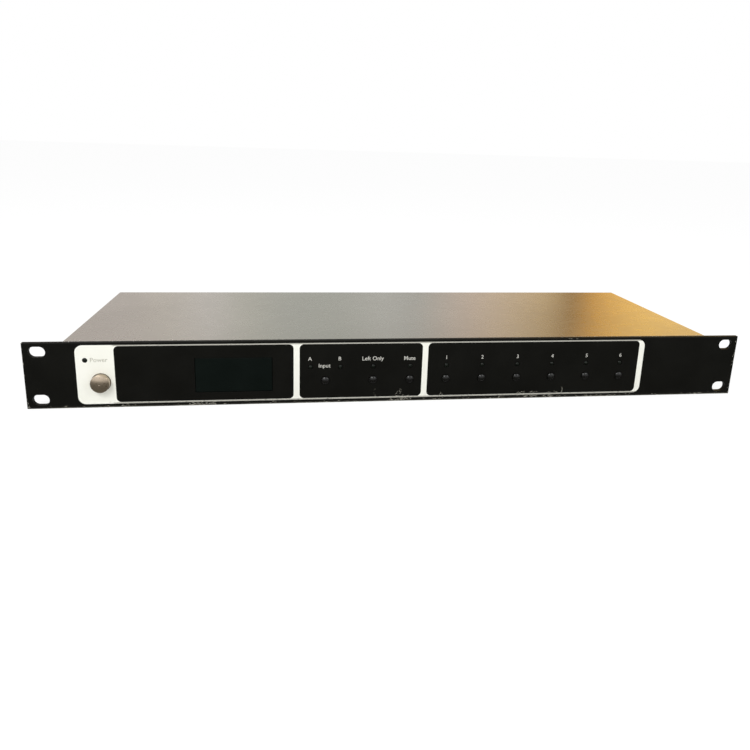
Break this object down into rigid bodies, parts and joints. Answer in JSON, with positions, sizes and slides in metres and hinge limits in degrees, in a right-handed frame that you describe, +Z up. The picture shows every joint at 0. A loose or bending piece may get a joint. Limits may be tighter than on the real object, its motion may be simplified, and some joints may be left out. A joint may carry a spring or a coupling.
{
  "type": "audio line router",
  "caption": "Flat rack unit that routes stereo line inputs to outputs: black front plate with round keys, lamps and a display window, plain grey sheet-metal case, sockets behind.",
  "frame": {"origin": "centre of the four rack slots, on the rear face of the front panel", "axes": "+X right seen from the front, +Y back into the case, +Z up"},
  "size_m": [0.4826, 0.1508, 0.0436],
  "materials": {
    "panel_black": "satin black powder coat with white print",
    "case_grey": "satin warm grey",
    "rear_black": "satin black",
    "button_metal": "brushed grey metal",
    "key_black": "glossy black",
    "lamp_dark": "unlit smoked lens",
    "smoked_acrylic": "smoked acrylic",
    "display_grey": "unlit display cell",
    "dark_plastic": "moulded",
    "black_plastic": "moulded, fine grain",
    "rubber_black": "matt",
    "zinc": "zinc plated",
    "nickel": "nickel plated",
    "brass_nickel": "nickel-plated brass",
    "screw_black": "black zinc",
    "socket_metal": "black die cast shell",
    "fuse_glass": "clear tube with metal ends",
    "circuit_board": "green solder mask",
    "transformer_tape": "yellow polyester tape",
    "relay_white": "moulded",
    "can_blue": "sleeved can",
    "sink_aluminium": "extruded",
    "ribbon_grey": "flat ribbon",
    "wire_brown": "insulated wire"
  },
  "bodies": {
    "chassis": {"front_panel": "panel_black", "panel_nuts": "zinc", "display_window": "smoked_acrylic", "display_module": "display_grey", "power_switch": "dark_plastic", "switch_bracket": "zinc", "key_switches": "dark_plastic", "status_leds": "lamp_dark", "front_board": "circuit_board", "board_spacers": "zinc", "board_screws": "zinc", "chassis_tray": "case_grey", "rear_panel": "rear_black", "top_cover": "case_grey", "case_screws": "screw_black", "toroidal_transformer": "transformer_tape", "transformer_pads": "rubber_black", "transformer_washer": "zinc", "transformer_nut": "zinc", "iec_inlet": "black_plastic", "inlet_pins": "brass_nickel", "earth_terminal": "zinc", "connector_screws": "screw_black", "jack_nuts": "nickel", "main_board": "circuit_board", "socket_inserts": "dark_plastic", "relays": "relay_white", "capacitors": "can_blue", "op_amps": "dark_plastic", "voltage_regulators": "dark_plastic", "heat_sink": "sink_aluminium", "pin_headers": "black_plastic", "ribbon_cable": "ribbon_grey", "wiring": "wire_brown", "input_a_left_socket": "socket_metal", "input_a_right_socket": "socket_metal", "input_b_left_socket": "socket_metal", "input_b_right_socket": "socket_metal", "output_1_jacks": "black_plastic", "output_2_jacks": "black_plastic", "output_3_jacks": "black_plastic", "output_4_jacks": "black_plastic", "output_5_jacks": "black_plastic", "output_6_jacks": "black_plastic"},
    "power_button": {"power_button": "button_metal"},
    "fuse_drawer": {"fuse_drawer": "black_plastic", "mains_fuse": "fuse_glass"},
    "input_button": {"input_button": "key_black"},
    "left_only_button": {"left_only_button": "key_black"},
    "mute_button": {"mute_button": "key_black"},
    "channel_1_button": {"channel_1_button": "key_black"},
    "channel_2_button": {"channel_2_button": "key_black"},
    "channel_3_button": {"channel_3_button": "key_black"},
    "channel_4_button": {"channel_4_button": "key_black"},
    "channel_5_button": {"channel_5_button": "key_black"},
    "channel_6_button": {"channel_6_button": "key_black"},
    "input_a_left_latch": {"input_a_left_latch": "nickel"},
    "input_a_right_latch": {"input_a_right_latch": "nickel"},
    "input_b_left_latch": {"input_b_left_latch": "nickel"},
    "input_b_right_latch": {"input_b_right_latch": "nickel"}
  },
  "joints": [
    {"name": "power_press", "type": "slide", "parent": "chassis", "child": "power_button", "axis": [0, 1, 0], "range_m": [0, 0.003], "stiffness_N_per_m": 300, "springref_m": -0.002},
    {"name": "input_press", "type": "slide", "parent": "chassis", "child": "input_button", "axis": [0, 1, 0], "range_m": [0, 0.0005], "stiffness_N_per_m": 400, "springref_m": -0.0008},
    {"name": "left_only_press", "type": "slide", "parent": "chassis", "child": "left_only_button", "axis": [0, 1, 0], "range_m": [0, 0.0005], "stiffness_N_per_m": 400, "springref_m": -0.0008},
    {"name": "mute_press", "type": "slide", "parent": "chassis", "child": "mute_button", "axis": [0, 1, 0], "range_m": [0, 0.0005], "stiffness_N_per_m": 400, "springref_m": -0.0008},
    {"name": "channel_1_press", "type": "slide", "parent": "chassis", "child": "channel_1_button", "axis": [0, 1, 0], "range_m": [0, 0.0005], "stiffness_N_per_m": 400, "springref_m": -0.0008},
    {"name": "channel_2_press", "type": "slide", "parent": "chassis", "child": "channel_2_button", "axis": [0, 1, 0], "range_m": [0, 0.0005], "stiffness_N_per_m": 400, "springref_m": -0.0008},
    {"name": "channel_3_press", "type": "slide", "parent": "chassis", "child": "channel_3_button", "axis": [0, 1, 0], "range_m": [0, 0.0005], "stiffness_N_per_m": 400, "springref_m": -0.0008},
    {"name": "channel_4_press", "type": "slide", "parent": "chassis", "child": "channel_4_button", "axis": [0, 1, 0], "range_m": [0, 0.0005], "stiffness_N_per_m": 400, "springref_m": -0.0008},
    {"name": "channel_5_press", "type": "slide", "parent": "chassis", "child": "channel_5_button", "axis": [0, 1, 0], "range_m": [0, 0.0005], "stiffness_N_per_m": 400, "springref_m": -0.0008},
    {"name": "channel_6_press", "type": "slide", "parent": "chassis", "child": "channel_6_button", "axis": [0, 1, 0], "range_m": [0, 0.0005], "stiffness_N_per_m": 400, "springref_m": -0.0008},
    {"name": "input_a_left_release", "type": "slide", "parent": "chassis", "child": "input_a_left_latch", "axis": [0, -1, 0], "range_m": [0, 0.0012], "stiffness_N_per_m": 400, "springref_m": -0.001},
    {"name": "input_a_right_release", "type": "slide", "parent": "chassis", "child": "input_a_right_latch", "axis": [0, -1, 0], "range_m": [0, 0.0012], "stiffness_N_per_m": 400, "springref_m": -0.001},
    {"name": "input_b_left_release", "type": "slide", "parent": "chassis", "child": "input_b_left_latch", "axis": [0, -1, 0], "range_m": [0, 0.0012], "stiffness_N_per_m": 400, "springref_m": -0.001},
    {"name": "input_b_right_release", "type": "slide", "parent": "chassis", "child": "input_b_right_latch", "axis": [0, -1, 0], "range_m": [0, 0.0012], "stiffness_N_per_m": 400, "springref_m": -0.001},
    {"name": "fuse_drawer_slide", "type": "slide", "parent": "chassis", "child": "fuse_drawer", "axis": [0, 1, 0], "range_m": [0, 0.016]}
  ]
}
